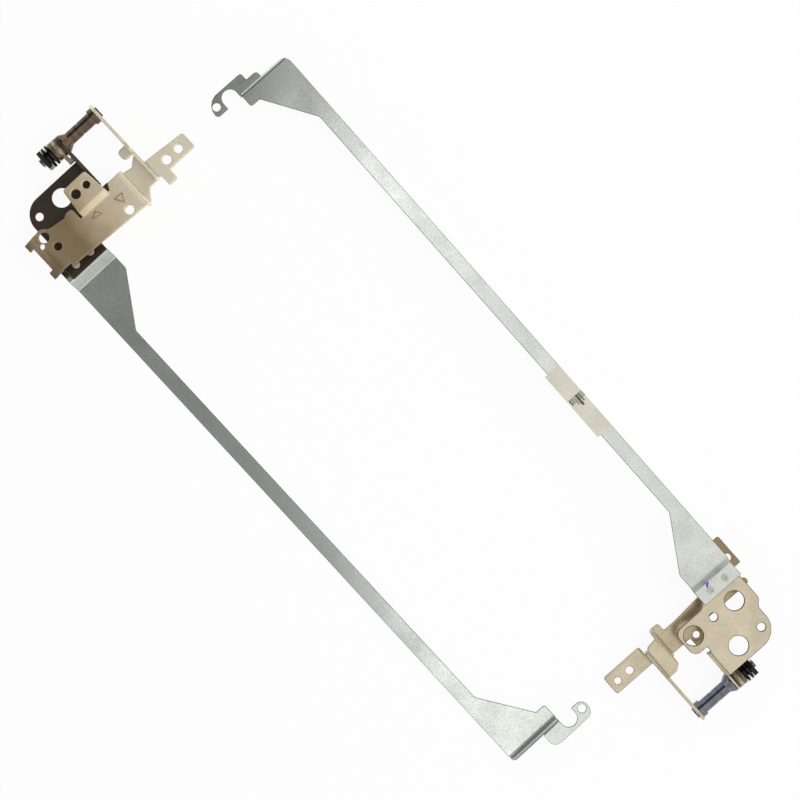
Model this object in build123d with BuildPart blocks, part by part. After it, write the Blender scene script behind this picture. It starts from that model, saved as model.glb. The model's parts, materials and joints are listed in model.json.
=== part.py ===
from build123d import *
import os
from math import atan2, cos, radians, sin
from types import SimpleNamespace

# A left and a right laptop hinge, lying closed on a table with their heads at opposite ends.
# The left hinge lies on its display arm. The right hinge lies upside down on its base bracket.
# Each hinge has its own frame: x runs along the display arm, y along the shaft and z from the
# display bracket to the base bracket. The frame's origin is on the shaft, near its middle.
# Right-hand coordinates are those of the left hinge with y reversed.

# Sheet metal
plate_t = 1.0            # sheet of both brackets
arm_t = 0.8              # sheet of the display arm
bend_r = 0.4             # inside radius of every fold
corner_r = 0.9           # rounded corners of the outlines
notch_r = 0.5            # small steps and inner corners
flare_r = 2.0            # long tapers

# Levels, measured from the shaft axis or between neighbouring levels
display_gap = 3.8        # shaft axis to the display bracket's inner face
base_gap = 2.1           # shaft axis to the base bracket's inner face
trough_drop = 4.6        # base plate down to the trough
flag_rise = 1.2          # base plate up to the left flag
leg_drop = 2.0           # base plate down to the tips of the left legs
joggle_drop = 3.5        # pad of the display arm down to its strip
ear_rise = 3.8           # strip up to the hooked ear

# Clearances
running_clear = 0.05     # shaft in the display flange
fit_clear = 0.02         # riveted and keyed seats
face_gap = 0.05          # between faces that turn on each other
stack_clear = 0.06       # washers and springs on the tail

# Shaft
base_face = 6.4          # frame origin to the base flange's inner face
flange_span = 13.2       # between the inner faces of the two flanges
shaft_r = 2.05
collar_r = 2.6
collar_len = 1.7
groove_w = 0.5
groove_depth = 0.15
cone_r = 3.1
cone_len = 1.8
thrust_len = 0.4
journal_r = 1.75
tenon_r = 1.5
head_r = 1.75
head_t = 0.45
tail_r = 1.5
tail_flat = 2.2          # across the two flats of the tail
tail_end = 0.9           # tail beyond the nut
boss_r = 3.1             # round end of each flange

# Friction stack on the tail, outward from the display flange
seat_t = 0.5
friction_t = 1.2
pressure_t = 1.2
washer_r = 3.2
friction_arm = 5.9       # shaft axis to the end of the friction washer's arm
friction_arm_w = 1.6
hook_w = 1.3
spring_t = 0.4
spring_cone = 0.27
spring_r = 3.45
spring_count = 4
nut_t = 1.4
nut_flats = 6.0
nut_sides = 6

# Display bracket, from the centre of its first large hole
large_hole_r = 3.0
small_hole_r = 1.28
plate_left = 5.05
plate_bottom = 12.3
plate_corner_r = 6.5
plate_step = 2.0         # how far the right part of the plate reaches below the left part
step_r = 2.0
shoulder_top = 0.4
ear_left = 5.95
ear_right = 15.5
ear_top_y = -3.3         # from the middle of the shaft
ear_corner_r = 2.6
inner_corner_r = 2.4
second_hole_x = 11.0
ear_hole_x = 11.15
ear_hole_y = -7.3        # from the middle of the shaft
middle_hole = (11.4, 0.0)
corner_hole = (-0.3, -8.9)
rivet_x = 18.1
rivet_first_y = -4.7
rivet_pitch = 5.8
rivet_r = 0.9
rivet_head_r = 1.15
rivet_head_t = 0.3
rivet_dimple_r = 0.5

# Display arm, from the same hole
pad_start = 15.75
pad_end = 20.85
joggle_run = 2.5
near_flat = 4.9
near_run = 16.2
strip_w = 4.7
far_flat = 4.85
far_run = 16.2
far_step = 3.5
far_top = 3.0

# Hooked ear, from the top corner of the far plate
hook_top = 9.85
hook_low = 4.6
hook_hole_x = 3.0
hook_hole_y = 7.9
hook_hole_r = 1.33
recess_r = 2.65
recess_depth = 5.1
recess_y = 2.85

# How the two hinges lie, shaft to shaft along the table's x and y
pair_length = 257.59
pair_width = 24.46
pair_centre = -0.165     # middle between the shafts, in x and in y, from the middle of the footprint

# Where the two hinges differ
left_hole_x = 10.5
left_hole_y = -18.6
left_step_x = 11.0
left_second_y = -5.05    # first large hole to the second
left_flange_root = 15.9
left_arm_len = 229.8     # shaft axis to the end of the far plate
left_strip_y = -13.55    # first hole to the strip's centre line
left_head_trim = 0.0     # how much narrower the strip is at the pad
left_lip_out = 0.6       # how far the fold up to the ear leans out
left_hook_reach = 6.4
left_tip_in = 0.7
left_tip_in_r = 2.3
left_tip_out_r = 2.6
left_ear_low = 6.3
left_ear_low_w = 6.2
left_ear_low_r = 2.2
left_far_corner_r = 2.0

right_hole_x = 7.8
right_hole_y = -15.6
right_step_x = 4.8
right_second_y = -8.05
right_flange_root = 12.1
right_arm_len = 233.4
right_strip_y = -13.0
right_head_trim = 0.5
right_lip_out = 0.2
right_hook_reach = 6.1
right_tip_in = 0.2
right_tip_in_r = 1.2
right_tip_out_r = 4.6
right_ear_low = 8.7
right_ear_low_w = 3.4
right_ear_low_r = 1.2
right_far_corner_r = 3.2
right_yaw = 1.43         # turn of the right hinge on the table, in degrees

# Left base bracket
left_tab_in = 21.1
left_tab_tip_in = 22.4
left_tab_out = 28.0
left_tab_tip = 21.9
left_lug_out = 31.5
left_lug_low = 8.4
left_lug_top = 11.7
left_tab_hole_x = 25.2
left_tab_holes = ((17.7, 1.3), (12.9, 1.45))     # y and radius
left_trough_in = 18.8
left_trough_flare = 16.7
left_trough_out = 26.9
left_step_y = 0.0
left_main_in = 18.2
left_main_out = 31.2
left_main_low_out = 29.6
left_neck_low = -4.9
left_relief_x = 20.7
left_relief_top = -6.2
left_relief_low = -18.1
left_low_in = 16.6
left_waist_in = 17.3
left_waist_top = -21.6
left_bump_low = -20.5
left_shoulder_y = -29.4
left_leg_out = 28.5
left_fold_y = -32.4
left_leg_in = 15.0
left_leg_w = 2.5
left_leg_tip = -36.37
left_bar_tip = -34.9
ring_x = 17.4
ring_y = -30.1
ring_hole_r = 1.7
ring_r = 2.6
flag_in = 11.2
flag_top = -7.5
flag_low = -16.4
flag_flare = 0.9         # how much wider the flag is at its root, each way
flag_hole_x = 14.6
flag_holes = ((-9.9, 1.25), (-14.1, 1.55))
left_screw_hole = (28.7, -5.5, 1.45)
left_end_hole = (22.2, -28.8, 1.3)
left_relief_hole = (19.1, -32.4, 0.85)
stub_in = 12.4
stub_w = 3.5
stub_end = 3.2

# Right base bracket
right_tab_in = 19.5
right_tab_out = 26.0
right_tab_tip = 21.9
right_tab_hole_x = 22.5
right_tab_holes = ((19.0, 1.1), (14.2, 1.25))
right_trough_in = 13.8
right_trough_low_in = 15.3
right_trough_out = 25.4
right_trough_root = 23.1
right_trough_bulge = (25.0, 5.4)
right_step_y = 1.4
right_neck_in = 17.6
right_neck_out = 24.8
right_neck_low_out = 26.4
right_lug_out = 27.7
right_lug_top = 2.1
right_lug_low = -1.9
right_ear_in = 14.4
right_ear_top = -6.3
right_ear_bottom = -11.6
right_ear_hole = (17.3, -8.5, 1.1)
right_low_in = 18.8
right_low_leg_w = 2.2
right_low_leg_tip = -31.4
right_low_y = -29.0
right_foot_in = 25.1
right_foot_out = 35.5
right_foot_top = -28.2
right_foot_tip = -33.5
right_foot_hole = (28.7, -31.3, 1.25)

# Paper label on the right arm
label_start = 83.3
label_len = 24.2
label_w = 5.6
label_t = 0.12
label_offset = 0.7       # towards the shaft from the strip's centre line

# Levels of each sheet's middle, from the shaft axis
base_z = base_gap + plate_t / 2
trough_z = base_z - trough_drop
display_z = -display_gap - plate_t / 2
pad_z = display_z - plate_t / 2 - arm_t / 2
strip_z = pad_z - joggle_drop
ear_z = strip_z + ear_rise
plate_fold = bend_r + plate_t / 2
arm_fold = bend_r + arm_t / 2
tall = 4 * (base_gap + display_gap + joggle_drop)

# Middles of the two flanges along the shaft
display_face = base_face - flange_span
base_flange_y = base_face + plate_t / 2
display_flange_y = display_face - plate_t / 2

# The left hinge rests on its strip, the right one on its foot and its hooked ear
left_rest = arm_t / 2 - strip_z
foot_face = base_z + plate_t / 2
ear_face = ear_z + arm_t / 2
right_ear_end = right_arm_len + right_hook_reach
right_tilt = atan2(foot_face - ear_face, right_ear_end - right_foot_out)
right_rest = foot_face * cos(right_tilt) + right_foot_out * sin(right_tilt)
yaw = radians(right_yaw)
left_x = pair_centre - pair_length / 2
left_y = pair_centre - pair_width / 2
left_frame = Plane(origin=(left_x, left_y, left_rest))
right_frame = Plane(
    origin=(left_x + pair_length, left_y + pair_width, right_rest),
    x_dir=(-cos(yaw) * cos(right_tilt), sin(yaw) * cos(right_tilt), -sin(right_tilt)),
    z_dir=(cos(yaw) * sin(right_tilt), -sin(yaw) * sin(right_tilt), -cos(right_tilt)),
)

left = SimpleNamespace(
    name="left", frame=left_frame, hand=1, hole_x=left_hole_x, hole_y=left_hole_y,
    step_x=left_step_x, second_y=left_second_y, flange_root=left_flange_root, arm_len=left_arm_len,
    strip_y=left_strip_y, head_trim=left_head_trim,
    lip_out=left_lip_out, hook_reach=left_hook_reach, tip_in=left_tip_in,
    tip_in_r=left_tip_in_r, tip_out_r=left_tip_out_r,
    ear_low=left_ear_low, ear_low_w=left_ear_low_w, ear_low_r=left_ear_low_r,
    far_corner_r=left_far_corner_r,
)
right = SimpleNamespace(
    name="right", frame=right_frame, hand=-1, hole_x=right_hole_x, hole_y=right_hole_y,
    step_x=right_step_x, second_y=right_second_y, flange_root=right_flange_root, arm_len=right_arm_len,
    strip_y=right_strip_y, head_trim=right_head_trim,
    lip_out=right_lip_out, hook_reach=right_hook_reach, tip_in=right_tip_in,
    tip_in_r=right_tip_in_r, tip_out_r=right_tip_out_r,
    ear_low=right_ear_low, ear_low_w=right_ear_low_w, ear_low_r=right_ear_low_r,
    far_corner_r=right_far_corner_r,
)

os.makedirs("parts", exist_ok=True)


def side_plane(side, y):
    """Plane across the shaft at y, with sketch axes along the hinge's x and z."""
    origin = side.frame.from_local_coords(Vector(0, side.hand * y, 0))
    return Plane(origin=origin, x_dir=side.frame.x_dir, z_dir=-side.frame.y_dir)


def cross_plane(side, x):
    """Plane across the arm at x, with sketch axes along the hinge's y and z."""
    origin = side.frame.from_local_coords(Vector(x, 0, 0))
    return Plane(origin=origin, x_dir=side.frame.y_dir, z_dir=side.frame.x_dir)


def mirrored(side, points):
    """Points given for the left hand, turned to this side's hand."""
    return [(x, side.hand * y) for x, y in points]


def corner_points(side, corners):
    """The points of (x, y, radius) corners given for the left hand."""
    return mirrored(side, [(x, y) for x, y, r in corners])


def corner_radii(corners):
    return [r for x, y, r in corners]


def shaft_axis(side):
    return Axis(origin=side.frame.origin, direction=side.frame.y_dir)


def rivet_points(side):
    x = side.hole_x + rivet_x
    first = side.hole_y + rivet_first_y
    return mirrored(side, [(x, first), (x, first - rivet_pitch)])


# Display arm: one strip folded in section, then cut to its outline
for side in (left, right):
    pad_left = side.hole_x + pad_start
    joggle_top = side.hole_x + pad_end
    joggle_foot = joggle_top + joggle_run
    strip_mid = side.hole_y + side.strip_y
    strip_low = strip_mid - strip_w / 2
    strip_high = strip_mid + strip_w / 2
    pad_high = side.hole_y - shoulder_top
    far_high = side.hole_y + far_top
    end_x = side.arm_len
    ear_x = end_x + side.lip_out
    ear_out = end_x + side.hook_reach
    low_mid = far_high - side.ear_low / 2
    hook_x = end_x + hook_hole_x
    hook_y = far_high + hook_hole_y
    plate_outline = [
        (pad_left, pad_high, 0),
        (joggle_foot + near_flat, pad_high, flare_r),
        (joggle_foot + near_flat + near_run, strip_high, flare_r),
        (end_x - far_flat - far_run, strip_high, flare_r),
        (end_x - far_flat, far_high - far_step, 0),
        (end_x - far_flat, far_high, corner_r),
        (ear_x + arm_t / 2, far_high, 0),
        (ear_x + arm_t / 2, strip_low, side.far_corner_r),
        (pad_left, strip_low + side.head_trim, 0),
    ]
    recess_mid = far_high + recess_y
    root_outline = [
        (end_x + side.tip_in, recess_mid, 0),
        (ear_out, recess_mid, 0),
        (ear_out, far_high - hook_low, corner_r),
        (end_x + side.tip_in, far_high - hook_low, 0),
    ]
    tip_outline = [
        (end_x + side.tip_in, far_high + hook_top, side.tip_in_r),
        (ear_out, far_high + hook_top, side.tip_out_r),
        (ear_out, recess_mid, 0),
        (end_x + side.tip_in, recess_mid, 0),
    ]

    with BuildPart() as arm:
        with BuildSketch(side_plane(side, strip_mid)):
            with BuildLine():
                FilletPolyline(
                    (pad_left, pad_z), (joggle_top, pad_z), (joggle_foot, strip_z),
                    (end_x, strip_z), (ear_x, ear_z), (ear_out, ear_z),
                    radius=arm_fold,
                )
            trace(line_width=arm_t)
        extrude(amount=tall, both=True)
        with BuildSketch(side.frame):
            for outline in (plate_outline, root_outline):
                with BuildLine():
                    FilletPolyline(
                        *corner_points(side, outline), radius=corner_radii(outline), close=True
                    )
                make_face()
            with Locations((end_x + side.ear_low_w / 2, side.hand * low_mid)):
                RectangleRounded(side.ear_low_w, side.ear_low, side.ear_low_r)
            with Locations((end_x, side.hand * recess_mid)):
                SlotOverall(2 * recess_depth, 2 * recess_r, mode=Mode.SUBTRACT)
            with Locations(*rivet_points(side)):
                Circle(rivet_r + fit_clear, mode=Mode.SUBTRACT)
        extrude(amount=tall, both=True, mode=Mode.INTERSECT)
        with BuildSketch(side.frame.offset(ear_z - arm_t / 2)):
            with BuildLine():
                FilletPolyline(
                    *corner_points(side, tip_outline), radius=corner_radii(tip_outline), close=True
                )
            make_face()
            with Locations((end_x, side.hand * recess_mid)):
                SlotOverall(2 * recess_depth, 2 * recess_r, mode=Mode.SUBTRACT)
            with Locations((hook_x, side.hand * hook_y)):
                Circle(hook_hole_r, mode=Mode.SUBTRACT)
        extrude(amount=arm_t)
    arm.part.label = f"{side.name}_arm"
    export_step(arm.part, f"parts/{side.name}_arm.step")


# Display bracket: a flat plate with one edge folded up into the flange that carries the shaft
for side in (left, right):
    hole_x = side.hole_x
    hole_y = side.hole_y
    left_edge = hole_x - plate_left
    right_edge = hole_x + pad_end
    low = hole_y - plate_bottom
    fold_y = display_flange_y - plate_fold
    step_x = hole_x + side.step_x
    outline = [
        (left_edge, fold_y, 0),
        (hole_x + ear_left, fold_y, 0),
        (hole_x + ear_left, ear_top_y, ear_corner_r),
        (hole_x + ear_right, ear_top_y, ear_corner_r),
        (hole_x + ear_right, hole_y - shoulder_top, inner_corner_r),
        (right_edge, hole_y - shoulder_top, 0),
        (right_edge, low - plate_step, notch_r),
        (step_x + plate_step, low - plate_step, step_r),
        (step_x, low, step_r),
        (left_edge, low, plate_corner_r),
    ]
    large_holes = [
        (hole_x, hole_y),
        (hole_x + second_hole_x, hole_y + side.second_y),
        (hole_x + ear_hole_x, ear_hole_y),
    ]
    small_holes = [(hole_x + dx, hole_y + dy) for dx, dy in (middle_hole, corner_hole)]

    with BuildPart() as display_bracket:
        with BuildSketch(side.frame.offset(display_z - plate_t / 2)):
            with BuildLine():
                FilletPolyline(
                    *corner_points(side, outline), radius=corner_radii(outline), close=True
                )
            make_face()
            with Locations(*mirrored(side, large_holes)):
                Circle(large_hole_r, mode=Mode.SUBTRACT)
            with Locations(*mirrored(side, small_holes)):
                Circle(small_hole_r, mode=Mode.SUBTRACT)
            with Locations(*rivet_points(side)):
                Circle(rivet_r + fit_clear, mode=Mode.SUBTRACT)
        extrude(amount=plate_t)
        with BuildSketch(cross_plane(side, left_edge)):
            with BuildLine():
                FilletPolyline(
                    *[(side.hand * y, z) for y, z in (
                        (fold_y - plate_t, display_z),
                        (display_flange_y, display_z),
                        (display_flange_y, display_z + 2 * plate_fold),
                    )],
                    radius=plate_fold,
                )
            trace(line_width=plate_t)
        extrude(amount=side.flange_root - left_edge)
        root_z = display_z + plate_fold
        with BuildSketch(side_plane(side, display_flange_y)):
            Circle(boss_r)
            with Locations(((left_edge + side.flange_root) / 2, root_z + plate_t / 2)):
                Rectangle(side.flange_root - left_edge, plate_t)
            make_hull()
            Circle(journal_r + running_clear, mode=Mode.SUBTRACT)
            with Locations((friction_arm - hook_w / 2, 0)):
                Rectangle(hook_w + 2 * fit_clear, friction_arm_w + 2 * fit_clear, mode=Mode.SUBTRACT)
        extrude(amount=plate_t / 2, both=True)
    display_bracket.part.label = f"{side.name}_display_bracket"
    export_step(display_bracket.part, f"parts/{side.name}_display_bracket.step")

# Rivets that hold the pad of the arm on the display bracket
for side in (left, right):
    with BuildPart() as arm_rivets:
        with BuildSketch(side.frame.offset(pad_z - arm_t / 2 - rivet_head_t)):
            with Locations(*rivet_points(side)):
                Circle(rivet_head_r)
        extrude(amount=rivet_head_t)
        with BuildSketch(side.frame.offset(pad_z - arm_t / 2)):
            with Locations(*rivet_points(side)):
                Circle(rivet_r)
        extrude(amount=arm_t + plate_t)
        with BuildSketch(side.frame.offset(-display_gap)):
            with Locations(*rivet_points(side)):
                Circle(rivet_head_r)
        extrude(amount=rivet_head_t)
        with BuildSketch(side.frame.offset(pad_z - arm_t / 2 - rivet_head_t)):
            with Locations(*rivet_points(side)):
                Circle(rivet_dimple_r)
        extrude(amount=rivet_head_t, mode=Mode.SUBTRACT)
    arm_rivets.part.label = f"{side.name}_arm_rivets"
    export_step(arm_rivets.part, f"parts/{side.name}_arm_rivets.step")

# Base brackets: the section folds from the tab down the wall, along the trough, up and along the
# main plate, and is then cut to its outline. The wall reaches out to the shaft as a flange.
wall_out = base_flange_y + plate_t / 2
left_outline = [
    (left_tab_tip_in, left_tab_tip, corner_r),
    (left_tab_out, left_tab_tip, corner_r),
    (left_tab_out, left_lug_top, notch_r),
    (left_lug_out, left_lug_top, corner_r),
    (left_lug_out, left_lug_low, notch_r),
    (left_tab_out, left_lug_low, notch_r),
    (left_trough_out, base_flange_y, 0),
    (left_trough_out, base_flange_y / 2, corner_r),
    (left_main_out, left_step_y, notch_r),
    (left_main_low_out, left_shoulder_y, notch_r),
    (left_leg_out, left_shoulder_y, 0),
    (left_leg_out, left_leg_tip, 0),
    (left_leg_in, left_leg_tip, 0),
    (left_leg_in, ring_y, 0),
    (left_low_in, left_shoulder_y + ring_r, notch_r),
    (left_waist_in, left_waist_top, notch_r),
    (left_low_in, left_bump_low, notch_r),
    (left_low_in, left_relief_low, corner_r),
    (left_relief_x, left_relief_low, 0),
    (left_relief_x, left_relief_top, corner_r),
    (left_main_in, left_neck_low, corner_r),
    (left_main_in, left_step_y, 0),
    (left_trough_in, base_flange_y / 2, corner_r),
    (left_trough_flare, base_flange_y - plate_t, 0),
    (left_trough_flare, wall_out, 0),
    (left_tab_in, wall_out, notch_r),
]
with BuildPart() as left_base:
    with BuildSketch(cross_plane(left, stub_in)):
        with BuildLine():
            FilletPolyline(
                (left_tab_tip, base_z), (base_flange_y, base_z), (base_flange_y, trough_z),
                (left_step_y, trough_z), (left_step_y, base_z), (left_fold_y, base_z),
                (left_leg_tip, base_z - leg_drop),
                radius=plate_fold,
            )
        trace(line_width=plate_t)
    extrude(amount=left_lug_out - stub_in)
    with BuildSketch(left.frame):
        with BuildLine():
            FilletPolyline(
                *corner_points(left, left_outline), radius=corner_radii(left_outline), close=True
            )
        make_face()
        with Locations((ring_x, ring_y)):
            Circle(ring_r)
        with Locations((stub_in + stub_w / 2, (stub_end + wall_out) / 2)):
            RectangleRounded(stub_w, wall_out - stub_end, stub_w / 3)
        bar_in = left_leg_in + left_leg_w
        bar_out = left_leg_out - left_leg_w
        with Locations(((bar_in + bar_out) / 2, (left_leg_tip + left_bar_tip) / 2)):
            Rectangle(bar_out - bar_in, left_bar_tip - left_leg_tip, mode=Mode.SUBTRACT)
        with Locations((ring_x, ring_y)):
            Circle(ring_hole_r, mode=Mode.SUBTRACT)
        for x, y, r in (left_screw_hole, left_end_hole, left_relief_hole):
            with Locations((x, y)):
                Circle(r, mode=Mode.SUBTRACT)
        for y, r in left_tab_holes:
            with Locations((left_tab_hole_x, y)):
                Circle(r, mode=Mode.SUBTRACT)
    extrude(amount=tall, both=True, mode=Mode.INTERSECT)

# Flag of the left base bracket: folded up from the edge of the main plate, wider at its root
flag_root = left_relief_x + plate_t
flag_outline = [
    (flag_in, flag_top, corner_r),
    (flag_in, flag_low, corner_r),
    (left_relief_x - flag_rise, flag_low - flag_flare, flare_r),
    (flag_root, flag_low - flag_flare, 0),
    (flag_root, flag_top + flag_flare, 0),
    (left_relief_x - flag_rise, flag_top + flag_flare, flare_r),
]
with BuildPart() as flag:
    with BuildSketch(side_plane(left, (flag_top + flag_low) / 2)):
        with BuildLine():
            FilletPolyline(
                (flag_root, base_z), (left_relief_x, base_z),
                (left_relief_x - flag_rise, base_z + flag_rise), (flag_in, base_z + flag_rise),
                radius=plate_fold,
            )
        trace(line_width=plate_t)
    extrude(amount=tall, both=True)
    with BuildSketch(left.frame):
        with BuildLine():
            FilletPolyline(
                *corner_points(left, flag_outline), radius=corner_radii(flag_outline), close=True
            )
        make_face()
        for y, r in flag_holes:
            with Locations((flag_hole_x, y)):
                Circle(r, mode=Mode.SUBTRACT)
    extrude(amount=tall, both=True, mode=Mode.INTERSECT)

right_outline = [
    (right_tab_in, right_tab_tip, corner_r),
    (right_tab_out, right_tab_tip, corner_r),
    (right_tab_out, wall_out, notch_r),
    (right_trough_root, wall_out, 0),
    (*right_trough_bulge, corner_r),
    (right_trough_out, right_lug_top, notch_r),
    (right_lug_out, right_lug_top, corner_r),
    (right_lug_out, right_lug_low, corner_r),
    (right_neck_out, right_lug_low, notch_r),
    (right_neck_out, right_ear_top, flare_r),
    (right_neck_low_out, right_foot_top, corner_r),
    (right_foot_out, right_foot_top, notch_r),
    (right_foot_out, right_foot_tip, notch_r),
    (right_foot_in, right_foot_tip, notch_r),
    (right_foot_in, right_low_y, notch_r),
    (right_low_in + right_low_leg_w, right_low_y, notch_r),
    (right_low_in + right_low_leg_w, right_low_leg_tip, corner_r),
    (right_low_in, right_low_leg_tip, corner_r),
    (right_low_in, right_ear_bottom, corner_r),
    (right_ear_in, right_ear_bottom, corner_r),
    (right_ear_in, right_ear_top, corner_r),
    (right_neck_in, right_ear_top, notch_r),
    (right_neck_in, right_step_y, 0),
    (right_trough_low_in, right_step_y, corner_r),
    (right_trough_in, base_flange_y / 2, corner_r),
    (right_trough_in, wall_out, 0),
    (right_tab_in, wall_out, 0),
]
with BuildPart() as right_base:
    with BuildSketch(cross_plane(right, right_trough_in)):
        with BuildLine():
            FilletPolyline(
                *[(right.hand * y, z) for y, z in (
                    (right_tab_tip, base_z), (base_flange_y, base_z), (base_flange_y, trough_z),
                    (right_step_y, trough_z), (right_step_y, base_z), (right_foot_tip, base_z),
                )],
                radius=plate_fold,
            )
        trace(line_width=plate_t)
    extrude(amount=right_foot_out - right_trough_in)
    with BuildSketch(right.frame):
        with BuildLine():
            FilletPolyline(
                *corner_points(right, right_outline), radius=corner_radii(right_outline), close=True
            )
        make_face()
        for x, y, r in (right_ear_hole, right_foot_hole):
            with Locations(*mirrored(right, [(x, y)])):
                Circle(r, mode=Mode.SUBTRACT)
        for y, r in right_tab_holes:
            with Locations(*mirrored(right, [(right_tab_hole_x, y)])):
                Circle(r, mode=Mode.SUBTRACT)
    extrude(amount=tall, both=True, mode=Mode.INTERSECT)

# Flange of each base bracket, from the folded wall out to the riveted end of the shaft
for side, pressing, wall_in, wall_end in (
    (left, left_base.part + flag.part, stub_in, left_trough_out),
    (right, right_base.part, right_trough_in, right_trough_root),
):
    with BuildPart() as base_bracket:
        with BuildSketch(side_plane(side, base_flange_y)):
            Circle(boss_r)
            with Locations(((wall_in + wall_end) / 2, (base_z + trough_z) / 2)):
                Rectangle(wall_end - wall_in, trough_drop - 2 * bend_r)
            make_hull()
            Circle(tenon_r + fit_clear, mode=Mode.SUBTRACT)
        extrude(amount=plate_t / 2, both=True)
        add(pressing)
    base_bracket.part.label = f"{side.name}_base_bracket"
    export_step(base_bracket.part, f"parts/{side.name}_base_bracket.step")

# Shaft: riveted into the base flange, turning in the display flange, with a flatted tail
seat_y = display_flange_y - plate_t / 2 - face_gap
friction_y = seat_y - seat_t - face_gap
pressure_y = friction_y - friction_t - face_gap
spring_y = pressure_y - pressure_t
spring_pitch = spring_t + spring_cone
nut_y = spring_y - spring_count * spring_pitch
tail_y = nut_y - nut_t - tail_end
for side in (left, right):
    head_y = base_face + plate_t
    thrust_y = display_face + face_gap
    cone_y = thrust_y + thrust_len
    with BuildPart() as shaft:
        with BuildSketch(side.frame):
            with BuildLine():
                Polyline(
                    *mirrored(side, [
                        (0, head_y + head_t), (head_r, head_y + head_t), (head_r, head_y),
                        (tenon_r, head_y), (tenon_r, base_face), (collar_r, base_face),
                        (collar_r, base_face - collar_len), (shaft_r, base_face - collar_len),
                        (shaft_r, groove_w / 2), (shaft_r - groove_depth, groove_w / 2),
                        (shaft_r - groove_depth, -groove_w / 2), (shaft_r, -groove_w / 2),
                        (shaft_r, cone_y + cone_len), (cone_r, cone_y), (cone_r, thrust_y),
                        (journal_r, thrust_y), (journal_r, seat_y), (tail_r, seat_y),
                        (tail_r, tail_y), (0, tail_y),
                    ]),
                    close=True,
                )
            make_face()
        revolve(axis=shaft_axis(side))
        with BuildSketch(side_plane(side, (seat_y + tail_y) / 2)):
            with Locations((tail_flat / 2 + tail_r, 0), (-tail_flat / 2 - tail_r, 0)):
                Rectangle(2 * tail_r, 2 * tail_r)
        extrude(amount=(seat_y - tail_y) / 2, both=True, mode=Mode.SUBTRACT)
    shaft.part.label = f"{side.name}_shaft"
    export_step(shaft.part, f"parts/{side.name}_shaft.step")

# Washers of the friction stack. The friction washer's arm hooks into the display flange and the
# pressure washer is keyed on the flats of the tail.
for side in (left, right):
    with BuildPart() as seat_washer:
        with BuildSketch(side_plane(side, seat_y - seat_t / 2)):
            Circle(washer_r)
            Circle(tail_r + stack_clear, mode=Mode.SUBTRACT)
        extrude(amount=seat_t / 2, both=True)
    seat_washer.part.label = f"{side.name}_seat_washer"
    export_step(seat_washer.part, f"parts/{side.name}_seat_washer.step")

    with BuildPart() as friction_washer:
        with BuildSketch(side_plane(side, friction_y - friction_t / 2)):
            Circle(washer_r)
            with Locations((friction_arm / 2, 0)):
                Rectangle(friction_arm, friction_arm_w)
            Circle(tail_r + stack_clear, mode=Mode.SUBTRACT)
        extrude(amount=friction_t / 2, both=True)
        hook_len = friction_y - display_flange_y
        with BuildSketch(side_plane(side, friction_y - hook_len / 2)):
            with Locations((friction_arm - hook_w / 2, 0)):
                Rectangle(hook_w, friction_arm_w)
        extrude(amount=hook_len / 2, both=True)
    friction_washer.part.label = f"{side.name}_friction_washer"
    export_step(friction_washer.part, f"parts/{side.name}_friction_washer.step")

    with BuildPart() as pressure_washer:
        with BuildSketch(side_plane(side, pressure_y - pressure_t / 2)):
            Circle(washer_r)
            with BuildSketch(mode=Mode.SUBTRACT):
                Circle(tail_r + stack_clear)
                Rectangle(tail_flat + 2 * stack_clear, 4 * tail_r, mode=Mode.INTERSECT)
        extrude(amount=pressure_t / 2, both=True)
    pressure_washer.part.label = f"{side.name}_pressure_washer"
    export_step(pressure_washer.part, f"parts/{side.name}_pressure_washer.step")

# Disc springs: shallow cones, set rim to rim and then bore to bore
for side in (left, right):
    for number in range(spring_count):
        near_y = spring_y - number * spring_pitch
        bore_drop = spring_cone if number % 2 else 0
        rim_drop = spring_cone - bore_drop
        bore_r = tail_r + stack_clear
        with BuildPart() as disc_spring:
            with BuildSketch(side.frame):
                with BuildLine():
                    Polyline(
                        *mirrored(side, [
                            (bore_r, near_y - bore_drop), (spring_r, near_y - rim_drop),
                            (spring_r, near_y - rim_drop - spring_t),
                            (bore_r, near_y - bore_drop - spring_t),
                        ]),
                        close=True,
                    )
                make_face()
            revolve(axis=shaft_axis(side))
        disc_spring.part.label = f"{side.name}_disc_spring_{number + 1}"
        export_step(disc_spring.part, f"parts/{side.name}_disc_spring_{number + 1}.step")

# Hex nut that sets the friction
for side in (left, right):
    with BuildPart() as nut:
        with BuildSketch(side_plane(side, nut_y - nut_t / 2)):
            RegularPolygon(nut_flats / 2, nut_sides, major_radius=False, rotation=180 / nut_sides)
            Circle(tail_r + stack_clear, mode=Mode.SUBTRACT)
        extrude(amount=nut_t / 2, both=True)
    nut.part.label = f"{side.name}_nut"
    export_step(nut.part, f"parts/{side.name}_nut.step")

# Paper label stuck on the outer face of the right strip
with BuildPart() as label:
    with BuildSketch(right.frame.offset(strip_z - arm_t / 2 - label_t)):
        label_mid_y = right_hole_y + right_strip_y + label_offset
        with Locations(*mirrored(right, [(label_start + label_len / 2, label_mid_y)])):
            Rectangle(label_len, label_w)
    extrude(amount=label_t)
label.part.label = "right_label"
export_step(label.part, "parts/right_label.step")
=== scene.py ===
# %% [markdown]
# Two display hinges of a laptop lie on a white table. The left one shows its base bracket, and the
# right one is turned over and shows its display bracket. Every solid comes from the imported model,
# in metres, and stays where it is: this script gives it edges, finishes, light and a camera.

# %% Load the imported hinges
import json
from math import radians

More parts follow.
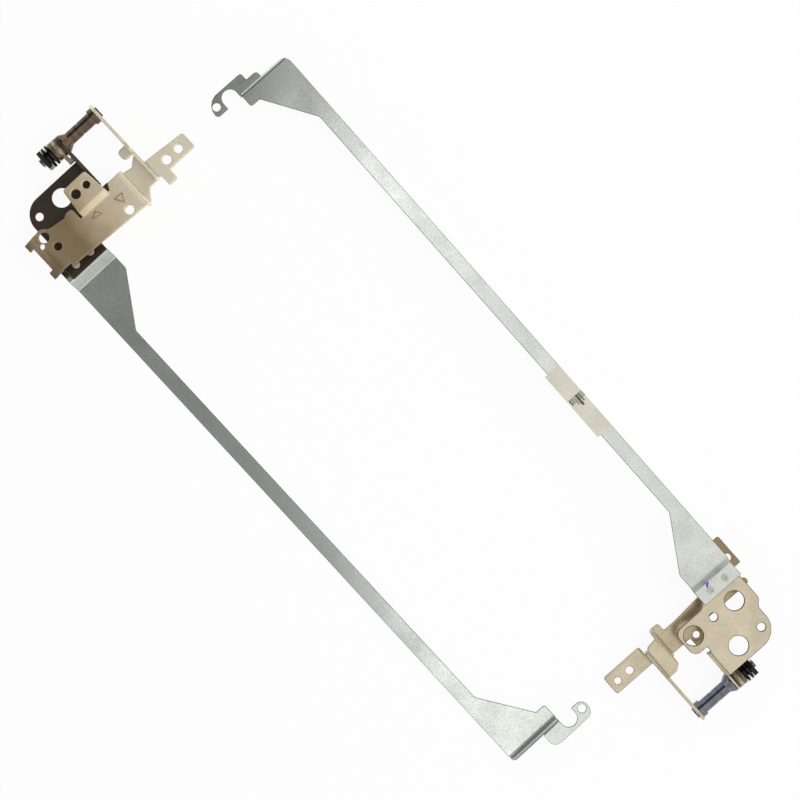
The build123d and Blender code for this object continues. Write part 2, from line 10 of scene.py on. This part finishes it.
import bmesh
import bpy
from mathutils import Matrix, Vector


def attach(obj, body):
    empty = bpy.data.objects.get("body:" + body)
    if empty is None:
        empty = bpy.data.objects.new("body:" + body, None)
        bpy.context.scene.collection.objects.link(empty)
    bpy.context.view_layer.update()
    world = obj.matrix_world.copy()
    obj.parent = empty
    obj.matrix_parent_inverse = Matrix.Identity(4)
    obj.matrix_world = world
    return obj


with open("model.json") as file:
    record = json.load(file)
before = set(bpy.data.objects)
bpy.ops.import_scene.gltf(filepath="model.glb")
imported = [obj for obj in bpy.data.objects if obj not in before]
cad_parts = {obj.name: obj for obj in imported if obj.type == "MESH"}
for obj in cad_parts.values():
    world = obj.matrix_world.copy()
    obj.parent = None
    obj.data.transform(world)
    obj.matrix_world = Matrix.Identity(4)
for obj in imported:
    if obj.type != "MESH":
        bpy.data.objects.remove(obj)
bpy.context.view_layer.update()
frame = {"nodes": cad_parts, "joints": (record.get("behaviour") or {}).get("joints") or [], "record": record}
nodes = frame["nodes"]

# %% [markdown]
# Each hinge is drawn in its own frame: x along the arm, y along the shaft, z from the display
# bracket to the base bracket. The left frame is turned like the table. The right one can be read
# from the record, because its joint gives the shaft and its ear seat gives the side that looks up.
# Small marks are then placed in millimetres on the sheet that carries them.

# %% Frames of the two hinges
MM = 0.001
joints = {joint["name"]: joint for joint in frame["joints"]}
seats = {mount["name"]: mount for mount in frame["record"]["mounts"]}
left_shaft = Vector(joints["left_hinge"]["pos_m"])
right_shaft = Vector(joints["right_hinge"]["pos_m"])
right_y = Vector(joints["right_hinge"]["axis"])
right_z = -Vector(seats["right_ear_seat"]["axis"])
right_x = right_y.cross(right_z)


def on_left(x, y, z):
    """A point of the left hinge, in metres on the table."""
    return left_shaft + Vector((x, y, z)) * MM


def on_right(x, y, z):
    """A point of the right hinge, which is the other hand, so its y runs the other way."""
    return right_shaft + (right_x * x - right_y * y + right_z * z) * MM


print("left shaft at", tuple(left_shaft), "right shaft at", tuple(right_shaft))

# %% [markdown]
# Finishes are built from nodes. One helper adds a node, sets its properties and fills its inputs,
# either with a value or with a link from another node. A second one turns the sRGB colours that
# are written here into the linear numbers that the shader works with.

# %% Helpers for finishes
def add(tree, kind, inputs=None, **settings):
    """Add a node, set its properties, and give its inputs a value or a link."""
    node = tree.nodes.new(kind)
    for name, value in settings.items():
        setattr(node, name, value)
    for socket, value in (inputs or {}).items():
        if isinstance(value, bpy.types.NodeSocket):
            tree.links.new(value, node.inputs[socket])
        else:
            node.inputs[socket].default_value = value
    return node


def linear(colour):
    """An sRGB colour such as "#C8B999" as linear red, green, blue and alpha."""
    parts = [int(colour[i:i + 2], 16) / 255 for i in (1, 3, 5)]
    return [c / 12.92 if c <= 0.04045 else ((c + 0.055) / 1.055) ** 2.4 for c in parts] + [1.0]


def per_mm(size):
    """Scale of a pattern whose grain is this many millimetres wide."""
    return 1 / (size * MM)


def blank_finish(name):
    """A material with an empty node tree."""
    finish = bpy.data.materials.new(name)
    finish.use_nodes = True
    finish.node_tree.nodes.clear()
    return finish


def dress(finish, *names):
    """Put one finish on these nodes."""
    for name in names:
        nodes[name].data.materials.clear()
        nodes[name].data.materials.append(finish)
    print(finish.name, "on", ", ".join(names))


print("white is", linear("#FFFFFF"))

# %% [markdown]
# The long arms are cut from galvanised steel sheet. Zinc freezes on the steel in small crystals,
# so the sheet looks grey and finely speckled, with cloudy patches where it has been handled.
# A smooth grey metal would look like plastic here, so two grains are laid over each other: one of
# about half a millimetre, as fine as this picture can show, and soft clouds of about 12 mm. Where
# the press bent the sheet or sheared it, the coat is stretched and torn and has lost its shine.
# Those faces are the ones that do not lie flat, so the normal tells the shader where they are.

# %% Galvanised sheet of the arms
def galvanised_sheet(name, light, dark):
    """Zinc-coated steel: a satin metal with a speckled, slightly uneven surface."""
    finish = blank_finish(name)
    tree = finish.node_tree
    surface = add(tree, "ShaderNodeTexCoord")
    place = surface.outputs["Object"]
    speckle = add(
        tree, "ShaderNodeTexNoise",
        {"Vector": place, "Scale": per_mm(0.5), "Detail": 3.0, "Roughness": 0.65},
    ).outputs["Fac"]
    clouds = add(
        tree, "ShaderNodeTexNoise", {"Vector": place, "Scale": per_mm(12), "Detail": 2.0}
    ).outputs["Fac"]
    tone = add(
        tree, "ShaderNodeMath", {0: speckle, 1: 0.6, 2: 0.0}, operation="MULTIPLY_ADD"
    ).outputs[0]
    tone = add(
        tree, "ShaderNodeMath", {0: clouds, 1: 0.4, 2: tone}, operation="MULTIPLY_ADD"
    ).outputs[0]
    shades = add(tree, "ShaderNodeValToRGB", {"Fac": tone})
    shades.color_ramp.elements[0].position = 0.36
    shades.color_ramp.elements[0].color = linear(dark)
    shades.color_ramp.elements[1].position = 0.64
    shades.color_ramp.elements[1].color = linear(light)
    gloss = add(
        tree, "ShaderNodeMapRange",
        {"Value": tone, "From Min": 0.3, "From Max": 0.7, "To Min": 0.16, "To Max": 0.1},
    ).outputs[0]
    facing = add(tree, "ShaderNodeSeparateXYZ", {0: surface.outputs["Normal"]}).outputs["Z"]
    facing = add(tree, "ShaderNodeMath", {0: facing}, operation="ABSOLUTE").outputs[0]
    dulled = add(
        tree, "ShaderNodeMapRange",
        {"Value": facing, "From Min": 0.8, "From Max": 0.97, "To Min": 0.32, "To Max": 0.0},
    ).outputs[0]
    gloss = add(tree, "ShaderNodeMath", {0: gloss, 1: dulled}, operation="ADD").outputs[0]
    relief = add(
        tree, "ShaderNodeBump", {"Height": speckle, "Strength": 0.12, "Distance": 0.015 * MM}
    ).outputs[0]
    metal = add(
        tree, "ShaderNodeBsdfPrincipled",
        {"Base Color": shades.outputs[0], "Metallic": 1.0, "Roughness": gloss, "Normal": relief},
    )
    add(tree, "ShaderNodeOutputMaterial", {"Surface": metal.outputs[0]})
    return finish


zinc = galvanised_sheet("galvanised_steel_sheet", "#DADDD6", "#B9BDB7")
dress(zinc, "left_arm", "right_arm")

# %% [markdown]
# The brackets are pressed from thicker steel, plated and passivated to a warm champagne colour.
# The thin film over the metal scatters part of the light, so the finish is half a metal and half a
# matt coat, with faint clouds and a fine tooth. On the left hinge the display bracket is coloured
# dark all over. That is painted shade for a bracket that lies in the shadow of the base bracket. The
# base bracket runs from a light tab to dark legs, which is painted light and painted shade. The right
# base bracket gets a fainter painted shade of the same kind, darker from its tab towards its legs,
# and it shows through the large holes. The painted shade follows the sheet's own coordinates, so it
# stays in place when the hinge turns.

# %% Champagne plating of the brackets
def champagne_plate(name, light, dark, shine, metal_share, painted_shade_span=None, edge=0.0):
    """Passivated plating on steel: satin, warm, clouded, with a painted shade along y where that is asked.
    """
    finish = blank_finish(name)
    tree = finish.node_tree
    place = add(tree, "ShaderNodeTexCoord").outputs["Object"]
    tooth = add(
        tree, "ShaderNodeTexNoise",
        {"Vector": place, "Scale": per_mm(0.7), "Detail": 2.0, "Roughness": 0.6},
    ).outputs["Fac"]
    clouds = add(
        tree, "ShaderNodeTexNoise", {"Vector": place, "Scale": per_mm(7), "Detail": 3.0}
    ).outputs["Fac"]
    tone = add(
        tree, "ShaderNodeMath", {0: tooth, 1: 0.45, 2: 0.0}, operation="MULTIPLY_ADD"
    ).outputs[0]
    tone = add(
        tree, "ShaderNodeMath", {0: clouds, 1: 0.55, 2: tone}, operation="MULTIPLY_ADD"
    ).outputs[0]
    shades = add(tree, "ShaderNodeValToRGB", {"Fac": tone})
    shades.color_ramp.elements[0].position = 0.36
    shades.color_ramp.elements[0].color = linear(dark)
    shades.color_ramp.elements[1].position = 0.64
    shades.color_ramp.elements[1].color = linear(light)
    colour = shades.outputs[0]
    # Painted shade: the colour is multiplied by a ramp that darkens it from one given y to the other.
    if painted_shade_span:
        lit_y, shaded_y = painted_shade_span
        along = add(tree, "ShaderNodeSeparateXYZ", {0: place}).outputs["Y"]
        along = add(
            tree, "ShaderNodeMath", {0: clouds, 1: 8 * MM, 2: along}, operation="MULTIPLY_ADD"
        ).outputs[0]
        shade_depth = add(
            tree, "ShaderNodeMapRange", {"Value": along, "From Min": lit_y, "From Max": shaded_y}
        ).outputs[0]
        shade_ramp = add(tree, "ShaderNodeValToRGB", {"Fac": shade_depth})
        shade_ramp.color_ramp.elements[0].color = linear("#FFFFFF")
        shade_ramp.color_ramp.elements[1].color = linear("#77695C")
        shade_ramp.color_ramp.elements.new(0.35).color = linear("#E9DFCE")
        shade_ramp.color_ramp.elements.new(0.62).color = linear("#A0917D")
        shade_ramp.color_ramp.elements.new(0.85).color = linear("#AC9D89")
        colour = add(
            tree, "ShaderNodeMix", {"Factor": 1.0, "A": colour, "B": shade_ramp.outputs[0]},
            data_type="RGBA", blend_type="MULTIPLY",
        ).outputs["Result"]
    dull = shine + 0.05
    bright = shine - 0.05
    gloss = add(
        tree, "ShaderNodeMapRange",
        {"Value": tone, "From Min": 0.3, "From Max": 0.7, "To Min": dull, "To Max": bright},
    ).outputs[0]
    relief = add(tree, "ShaderNodeBump", {"Height": tooth, "Strength": 0.12, "Distance": 0.02 * MM})
    if edge:
        rounded = add(tree, "ShaderNodeBevel", {"Radius": edge * MM}).outputs[0]
        tree.links.new(rounded, relief.inputs["Normal"])
    metal = add(
        tree, "ShaderNodeBsdfPrincipled",
        {
            "Base Color": colour,
            "Metallic": metal_share,
            "Roughness": gloss,
            "Normal": relief.outputs[0],
        },
    )
    add(tree, "ShaderNodeOutputMaterial", {"Surface": metal.outputs[0]})
    return finish


plating = champagne_plate("champagne_plated_steel", "#D2C7AE", "#BFB39A", 0.22, 0.65)
# The left base bracket has painted light at its tab and painted shade that darkens towards its legs.
tab_y = left_shaft.y + 4 * MM
legs_y = left_shaft.y - 32 * MM
round_edge = 0.7
left_base_light_and_shade = champagne_plate(
    "champagne_plated_steel_painted_light_and_shade", "#FAF0D8", "#E9DEC4", 0.22, 0.6, (tab_y, legs_y), round_edge
)
# The left display bracket is coloured dark all over: painted shade for a bracket lying in shadow.
left_display_painted_shade = champagne_plate("dark_plated_steel_painted_shade", "#483E34", "#372F28", 0.3, 0.5)
# The right base bracket gets painted shade, darker from its tab towards its legs, under the display bracket.
right_tab_y = right_shaft.y - 4 * MM
right_legs_y = right_shaft.y + 72 * MM
right_base_painted_shade = champagne_plate(
    "champagne_plated_steel_painted_shade", "#D2C7AE", "#BFB39A", 0.22, 0.65,
    (right_tab_y, right_legs_y), round_edge,
)
dress(plating, "right_display_bracket")
dress(right_base_painted_shade, "right_base_bracket")
dress(left_base_light_and_shade, "left_base_bracket")
dress(left_display_painted_shade, "left_display_bracket")
print("left base bracket stands at", tuple(nodes["left_base_bracket"].matrix_world.translation))

# %% [markdown]
# The shafts are turned steel, blackened in hot oil. The lathe leaves rings far finer than this
# picture can show, so they only soften the highlight that runs along the shaft. What can be seen
# is the wear of the black: faint bands round the shaft, where the pattern changes along y alone.
# Both shafts are the same steel. The left one is coloured warm brown and the right one a lighter
# blue-black, which are painted reflections of the warm and the cool light that each one mirrors.

# %% Blackened shafts
def turned_black(name, colour, worn):
    """Oil-blackened turned steel: dark, half glossy, with faint bands of wear."""
    finish = blank_finish(name)
    tree = finish.node_tree
    place = add(tree, "ShaderNodeTexCoord").outputs["Object"]
    along = add(tree, "ShaderNodeMapping", {"Vector": place, "Scale": (0.05, 1.0, 0.05)}).outputs[0]
    bands = add(
        tree, "ShaderNodeTexNoise", {"Vector": along, "Scale": per_mm(1.2), "Detail": 3.0}
    ).outputs["Fac"]
    shades = add(tree, "ShaderNodeValToRGB", {"Fac": bands})
    shades.color_ramp.elements[0].position = 0.3
    shades.color_ramp.elements[0].color = linear(colour)
    shades.color_ramp.elements[1].position = 0.8
    shades.color_ramp.elements[1].color = linear(worn)
    gloss = add(
        tree, "ShaderNodeMapRange",
        {"Value": bands, "From Min": 0.3, "From Max": 0.7, "To Min": 0.14, "To Max": 0.22},
    ).outputs[0]
    metal = add(
        tree, "ShaderNodeBsdfPrincipled",
        {"Base Color": shades.outputs[0], "Metallic": 1.0, "Roughness": gloss},
    )
    add(tree, "ShaderNodeOutputMaterial", {"Surface": metal.outputs[0]})
    return finish


# Painted reflection: the two shafts differ in colour only to paint the different light they mirror.
dress(turned_black("oil_blackened_steel_painted_warm_reflection", "#54483D", "#7A6A5A"), "left_shaft")
dress(turned_black("oil_blackened_steel_painted_cool_reflection", "#62646D", "#80828D"), "right_shaft")

# %% [markdown]
# Disc springs and the nut are hardened and blackened, almost soot-coloured. The three washers of
# each stack come from different presses: a dark bronze seat, a pale hooked friction washer and a
# browned pressure washer, all wet with the grease that the friction parts run in.

# %% Springs, nuts and washers
side_names = ("left", "right")
soot = turned_black("blackened_spring_steel", "#242322", "#3C3A37")
springs = [f"{side}_disc_spring_{i}" for side in side_names for i in range(1, 5)]
dress(soot, *springs, "left_nut", "right_nut")
for piece, light, dark in (
    ("seat_washer", "#7A6852", "#5E5040"),
    ("friction_washer", "#BDB29C", "#9C907A"),
    ("pressure_washer", "#85755F", "#695B49"),
):
    greased = champagne_plate(f"greased_{piece}_steel", light, dark, 0.25, 0.8)
    dress(greased, f"left_{piece}", f"right_{piece}")

# %% [markdown]
# Two flat-headed rivets hold each arm. They are set after plating, so their rims are bright and
# their heads a little dull and yellow.

# %% Rivets
rivet_finish = champagne_plate("set_rivet_steel", "#D6D4C8", "#BDBAAD", 0.36, 0.5)
dress(rivet_finish, "left_arm_rivets", "right_arm_rivets")

# %% [markdown]
# A strip of coated paper is stuck round the right arm. Paper is not a metal: it scatters light
# evenly, has a faint fibre, and is soiled a little along its length.

# %% Paper of the label
paper = blank_finish("coated_label_paper")
tree = paper.node_tree
place = add(tree, "ShaderNodeTexCoord").outputs["Object"]
fibre = add(
    tree, "ShaderNodeTexNoise",
    {"Vector": place, "Scale": per_mm(0.9), "Detail": 4.0, "Roughness": 0.7},
).outputs["Fac"]
soil = add(
    tree, "ShaderNodeTexNoise", {"Vector": place, "Scale": per_mm(6), "Detail": 2.0}
).outputs["Fac"]
tone = add(
    tree, "ShaderNodeMath", {0: fibre, 1: 0.5, 2: 0.0}, operation="MULTIPLY_ADD"
).outputs[0]
tone = add(
    tree, "ShaderNodeMath", {0: soil, 1: 0.5, 2: tone}, operation="MULTIPLY_ADD"
).outputs[0]
shades = add(tree, "ShaderNodeValToRGB", {"Fac": tone})
shades.color_ramp.elements[0].position = 0.36
shades.color_ramp.elements[0].color = linear("#D6D2C1")
shades.color_ramp.elements[1].position = 0.64
shades.color_ramp.elements[1].color = linear("#E2DED0")
relief = add(
    tree, "ShaderNodeBump", {"Height": fibre, "Strength": 0.15, "Distance": 0.03 * MM}
).outputs[0]
sheet = add(
    tree, "ShaderNodeBsdfPrincipled",
    {"Base Color": shades.outputs[0], "Roughness": 0.6, "Normal": relief},
)
add(tree, "ShaderNodeOutputMaterial", {"Surface": sheet.outputs[0]})
dress(paper, "right_label")

# %% [markdown]
# No sheared edge is perfectly sharp. A press leaves a burr on one side and a rounded edge on the
# other, and that thin rounded edge shows as a line. The imported mesh is split along its edges, so it
# is welded, its flat faces are made whole, and each sharp edge gets a small chamfer. It is marked
# sharp. On arms and display brackets the chamfer is coloured dark: partly the bare steel that the
# shear has torn, and partly a painted shade for the dark line that the edge shows.
# Last, the normals are weighted by area, so that flats stay flat and only folds are shaded round.
# On the base brackets the short edges in the folds leave no room for a full chamfer, so it is
# clamped there and their finish does the rest.

# %% Broken edges
def break_edges(name, width, dark_edge_finish=None, clamp=False):
    """Weld the node's mesh for display and chamfer its sharp edges, in a dark edge finish if one is given.
    """
    weld = nodes[name].modifiers.new("joined_faces", "WELD")
    weld.merge_threshold = 0.0005 * MM
    flats = nodes[name].modifiers.new("whole_flats", "DECIMATE")
    flats.decimate_type = "DISSOLVE"
    flats.angle_limit = radians(0.5)
    edge = nodes[name].modifiers.new("broken_edges", "BEVEL")
    edge.width = width * MM
    edge.segments = 1
    edge.limit_method = "ANGLE"
    edge.angle_limit = radians(50)
    edge.mark_sharp = True
    edge.use_clamp_overlap = clamp
    edge.loop_slide = False
    if dark_edge_finish:
        nodes[name].data.materials.append(dark_edge_finish)
        edge.material = 1
    shading = nodes[name].modifiers.new("flat_shading", "WEIGHTED_NORMAL")
    shading.weight = 100
    shading.keep_sharp = True


# The dark chamfer colours are partly bare sheared steel and partly painted shade for the edge lines.
arm_bare_edge_and_shade = champagne_plate("sheared_arm_edge_steel_and_painted_shade", "#7C7E7A", "#62645F", 0.45, 0.8)
bracket_bare_edge_and_shade = champagne_plate("sheared_bracket_edge_steel_and_painted_shade", "#54463A", "#40352B", 0.45, 0.8)
for side in side_names:
    break_edges(f"{side}_arm", 0.14, arm_bare_edge_and_shade)
    break_edges(f"{side}_display_bracket", 0.2, bracket_bare_edge_and_shade)
    break_edges(f"{side}_base_bracket", 0.2, clamp=True)
    for piece in ("seat_washer", "friction_washer", "pressure_washer", "arm_rivets"):
        break_edges(f"{side}_{piece}", 0.1)
print("broken edges on", len(side_names) * 7, "pressed parts")

# %% [markdown]
# The press left two small triangles on the left base bracket. They are low ridges. A thin closed
# curve with a round section, its middle just under the face of the sheet, gives such a ridge and
# its two-sided highlight without cutting into the plate. The ridges are coloured darker than the
# plate, which is a painted shade for the dark outline that they show.

# %% Press marks
def press_mark(name, points, body, finish, section):
    """A low ridge along a closed line of points."""
    line = bpy.data.curves.new(name, "CURVE")
    line.dimensions = "3D"
    line.bevel_depth = section * MM
    line.bevel_resolution = 2
    spline = line.splines.new("POLY")
    spline.points.add(len(points) - 1)
    for knot, point in zip(spline.points, points):
        knot.co = (*point, 1.0)
    spline.use_cyclic_u = True
    mark = bpy.data.objects.new(name, line)
    bpy.context.collection.objects.link(mark)
    line.materials.append(finish)
    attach(mark, body)
    print(name, "has", len(points), "corners")
    return mark


# Painted shade: the ridges are coloured darker than the plate around them.
ridge_painted_shade = champagne_plate("press_mark_steel_painted_shade", "#9A8A70", "#84755D", 0.2, 0.7)
base_face = 3.1
sunk = 0.05
base_top = base_face - sunk
ridge = 0.26
upper_triangle = [(23.24, -6.66), (23.41, -3.77), (25.95, -5.11)]
lower_triangle = [(23.11, -15.56), (22.12, -13.51), (24.0, -12.24)]
for name, corners in (("upper_press_mark", upper_triangle), ("lower_press_mark", lower_triangle)):
    press_mark(name, [on_left(x, y, base_top) for x, y in corners], "left base side", ridge_painted_shade, ridge)

# %% [markdown]
# An assembler ticked the right arm with a felt pen. The stroke is a thin film of violet ink. It is
# a narrow strip of faces on the pad, wider in the middle, a few hundredths of a millimetre thick.

# %% Felt pen tick
ink = blank_finish("felt_pen_ink")
tree = ink.node_tree
place = add(tree, "ShaderNodeTexCoord").outputs["Object"]
patches = add(
    tree, "ShaderNodeTexNoise", {"Vector": place, "Scale": per_mm(0.6), "Detail": 2.0}
).outputs["Fac"]
shades = add(tree, "ShaderNodeValToRGB", {"Fac": patches})
shades.color_ramp.elements[0].position = 0.35
shades.color_ramp.elements[0].color = linear("#4A2FD6")
shades.color_ramp.elements[1].position = 0.7
shades.color_ramp.elements[1].color = linear("#7B69F0")
film = add(
    tree, "ShaderNodeBsdfPrincipled", {"Base Color": shades.outputs[0], "Roughness": 0.4}
)
add(tree, "ShaderNodeOutputMaterial", {"Surface": film.outputs[0]})

pad_out = -5.6
ink_thickness = 0.03
across_x = 0.75
across_y = 0.65
stroke = [
    (28.75, -21.75, 0.16),
    (28.5, -21.3, 0.3),
    (28.1, -20.8, 0.38),
    (27.7, -20.35, 0.34),
    (27.3, -19.95, 0.2),
]
mesh = bmesh.new()
for level in (pad_out, pad_out - ink_thickness):
    for x, y, half in stroke:
        mesh.verts.new(on_right(x - half * across_x, y - half * across_y, level))
        mesh.verts.new(on_right(x + half * across_x, y + half * across_y, level))
mesh.verts.ensure_lookup_table()
count = len(stroke)
for layer in (0, 2 * count):
    for i in range(count - 1):
        a = layer + 2 * i
        mesh.faces.new([mesh.verts[k] for k in (a, a + 1, a + 3, a + 2)])
rim = [2 * i for i in range(count)] + [2 * i + 1 for i in reversed(range(count))]
for a, b in zip(rim, rim[1:] + rim[:1]):
    mesh.faces.new([mesh.verts[k] for k in (a, b, b + 2 * count, a + 2 * count)])
bmesh.ops.recalc_face_normals(mesh, faces=mesh.faces)
tick_mesh = bpy.data.meshes.new("felt_pen_tick")
mesh.to_mesh(tick_mesh)
mesh.free()
tick_mesh.materials.append(ink)
tick = bpy.data.objects.new("felt_pen_tick", tick_mesh)
bpy.context.collection.objects.link(tick)
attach(tick, "right display side")
print("tick has", len(tick_mesh.polygons), "faces")

# %% [markdown]
# The label carries a block of printed bars along the arm. They are plain bars of uneven width and
# say nothing. Printed ink has almost no height, so each bar is a box two hundredths of a millimetre
# thick, and all of them are faces of one mesh. The print has worn, so the black is not quite even.

# %% Printed bars on the label
print_ink = blank_finish("worn_black_print")
tree = print_ink.node_tree
place = add(tree, "ShaderNodeTexCoord").outputs["Object"]
wear = add(
    tree, "ShaderNodeTexNoise", {"Vector": place, "Scale": per_mm(0.4), "Detail": 3.0}
).outputs["Fac"]
shades = add(tree, "ShaderNodeValToRGB", {"Fac": wear})
shades.color_ramp.elements[0].position = 0.5
shades.color_ramp.elements[0].color = linear("#1C1B1D")
shades.color_ramp.elements[1].position = 0.75
shades.color_ramp.elements[1].color = linear("#5C5954")
print_film = add(
    tree, "ShaderNodeBsdfPrincipled", {"Base Color": shades.outputs[0], "Roughness": 0.55}
)
add(tree, "ShaderNodeOutputMaterial", {"Surface": print_film.outputs[0]})

label_out = -9.22
bar_foot = 0.01
bar_thickness = 0.02
bar_widths = [0.34, 0.12, 0.22, 0.12, 0.2, 0.12, 0.3, 0.36, 0.14, 0.34, 0.12, 0.16, 0.12]
bar_lengths = [2.0, 2.0, 2.0, 2.0, 3.0, 3.0, 3.9, 3.9, 2.0, 3.0, 2.0, 2.0, 2.0]
bar_pitch = -0.4
first_bar_y = -25.85
bar_top_x = 97.4
mesh = bmesh.new()
for i, (width, length) in enumerate(zip(bar_widths, bar_lengths)):
    y = first_bar_y + i * bar_pitch
    corners = []
    for level in (label_out + bar_foot, label_out - bar_thickness):
        corners.append(mesh.verts.new(on_right(bar_top_x, y - width / 2, level)))
        corners.append(mesh.verts.new(on_right(bar_top_x, y + width / 2, level)))
        corners.append(mesh.verts.new(on_right(bar_top_x - length, y + width / 2, level)))
        corners.append(mesh.verts.new(on_right(bar_top_x - length, y - width / 2, level)))
    mesh.faces.new(corners[:4])
    mesh.faces.new(corners[4:])
    for k in range(4):
        mesh.faces.new([corners[k], corners[(k + 1) % 4], corners[(k + 1) % 4 + 4], corners[k + 4]])
bmesh.ops.recalc_face_normals(mesh, faces=mesh.faces)
bar_mesh = bpy.data.meshes.new("label_bars")
mesh.to_mesh(bar_mesh)
mesh.free()
bar_mesh.materials.append(print_ink)
label_bars = bpy.data.objects.new("label_bars", bar_mesh)
bpy.context.collection.objects.link(label_bars)
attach(label_bars, "right display side")
print("label has", len(bar_widths), "bars")

# %% [markdown]
# The table is a white sheet under soft light. To the camera, and to the metal that mirrors it, it
# is mostly its own even white, and a small share of it takes the shadow that the hinges throw.

# %% White table
table_mesh = bpy.data.meshes.new("white_table")
half = 1.5
low = -0.02 * MM
corners = [(-half, -half, low), (half, -half, low), (half, half, low), (-half, half, low)]
table_mesh.from_pydata(corners, [], [(0, 1, 2, 3)])
table = bpy.data.objects.new("white_table", table_mesh)
bpy.context.collection.objects.link(table)

white_sheet = blank_finish("white_table_sheet")
tree = white_sheet.node_tree
path = add(tree, "ShaderNodeLightPath")
seen = path.outputs["Is Camera Ray"]
for mirrored in ("Is Glossy Ray", "Is Transmission Ray"):
    seen = add(
        tree, "ShaderNodeMath", {0: seen, 1: path.outputs[mirrored]}, operation="MAXIMUM"
    ).outputs[0]
own_white = 0.92
share = add(tree, "ShaderNodeMath", {0: seen, 1: own_white}, operation="MULTIPLY").outputs[0]
matt = add(tree, "ShaderNodeBsdfDiffuse", {"Color": linear("#F9F9F9")}).outputs[0]
glow = add(tree, "ShaderNodeEmission", {"Color": linear("#FFFFFF"), "Strength": 1.0}).outputs[0]
surface = add(tree, "ShaderNodeMixShader", {0: share, 1: matt, 2: glow}).outputs[0]
add(tree, "ShaderNodeOutputMaterial", {"Surface": surface})
table_mesh.materials.append(white_sheet)
print("table is", 2 * half, "m wide")

# %% [markdown]
# Bare metal shows little but its surroundings. In a light tent those are pale on the side of the
# lamp and dim on the far side, so the hinges are bright at one end of the table and dark at the
# other. The world is that tent: its roof has a soft step from dim to pale and one dim corner, which
# the far end of the right arm mirrors. Its walls are white, so that a view from the side has a
# white background and folds catch a pale line.
# One broad lamp stands outside the cloth on the pale side. It lights what is matt and throws the
# soft shadow, but the metal cannot mirror it, so no hard glint runs along the folds.

# %% Light tent and lamp
pale_side = (0.443, 0.897, 0.0)
dim_corner = (-0.735, 0.678, 0.0)
tent = bpy.data.worlds.new("light_tent")
tent.use_nodes = True
tree = tent.node_tree
tree.nodes.clear()
towards = add(tree, "ShaderNodeTexCoord").outputs["Generated"]
turn = add(
    tree, "ShaderNodeVectorMath", {0: towards, 1: pale_side}, operation="DOT_PRODUCT"
).outputs["Value"]
pale = add(
    tree, "ShaderNodeMapRange",
    {"Value": turn, "From Min": -0.07, "From Max": -0.025, "To Min": 0.33, "To Max": 1.5},
    interpolation_type="SMOOTHSTEP",
).outputs[0]
beyond = add(
    tree, "ShaderNodeMapRange",
    {"Value": turn, "From Min": 0.01, "From Max": 0.05, "To Min": 1.0, "To Max": 0.7},
    interpolation_type="SMOOTHSTEP",
).outputs[0]
height = add(tree, "ShaderNodeSeparateXYZ", {0: towards}).outputs["Z"]
walls = add(
    tree, "ShaderNodeMapRange",
    {"Value": height, "From Min": 0.05, "From Max": 0.85, "To Min": 0.15, "To Max": 1.0},
    interpolation_type="SMOOTHSTEP",
).outputs[0]
back = add(
    tree, "ShaderNodeVectorMath", {0: towards, 1: dim_corner}, operation="DOT_PRODUCT"
).outputs["Value"]
corner = add(
    tree, "ShaderNodeMapRange",
    {"Value": back, "From Min": 0.2, "From Max": 0.29, "To Min": 1.0, "To Max": 0.4},
    interpolation_type="SMOOTHSTEP",
).outputs[0]
level = add(tree, "ShaderNodeMath", {0: pale, 1: beyond}, operation="MULTIPLY").outputs[0]
level = add(tree, "ShaderNodeMath", {0: level, 1: corner}, operation="MULTIPLY").outputs[0]
level = add(tree, "ShaderNodeMath", {0: level, 1: walls}, operation="MULTIPLY").outputs[0]
white_wall = add(
    tree, "ShaderNodeMapRange",
    {"Value": height, "From Min": 0.35, "From Max": 0.75, "To Min": 1.0, "To Max": 0.0},
    interpolation_type="SMOOTHSTEP",
).outputs[0]
level = add(tree, "ShaderNodeMix", {"Factor": white_wall, "A": level, "B": 1.0}).outputs["Result"]
cloth = add(tree, "ShaderNodeBackground", {"Color": linear("#FFFFFF"), "Strength": level})
add(tree, "ShaderNodeOutputWorld", {"Surface": cloth.outputs[0]})
bpy.context.scene.world = tent

lamp_data = bpy.data.lights.new("broad_lamp", "AREA")
lamp_data.size = 0.8
lamp_data.energy = 2.1
lamp = bpy.data.objects.new("broad_lamp", lamp_data)
bpy.context.collection.objects.link(lamp)
lamp.visible_glossy = False
lamp_reach = 0.5
lamp_height = 0.6
lamp.location = Vector(pale_side) * lamp_reach + Vector((0.0, 0.0, lamp_height))
lamp.rotation_euler = (-lamp.location).to_track_quat("-Z", "Y").to_euler()
print("lamp at", tuple(lamp.location))

# %% [markdown]
# The picture is taken from straight above, turned so that the arms run from the upper left to the
# lower right. A lens of 70 mm at 480 mm shows about a quarter of a metre of the table.

# %% Camera
camera_data = bpy.data.cameras.new("camera")
camera_data.lens = 70.05
camera_data.sensor_width = 36.0
camera = bpy.data.objects.new("camera", camera_data)
bpy.context.collection.objects.link(camera)
camera.location = (-3.10 * MM, 3.005 * MM, 480 * MM)
camera.rotation_euler = (0.0, 0.0, radians(47.27))
bpy.context.scene.camera = camera
bpy.context.scene.view_settings.view_transform = "Standard"
print("camera at", tuple(camera.location))
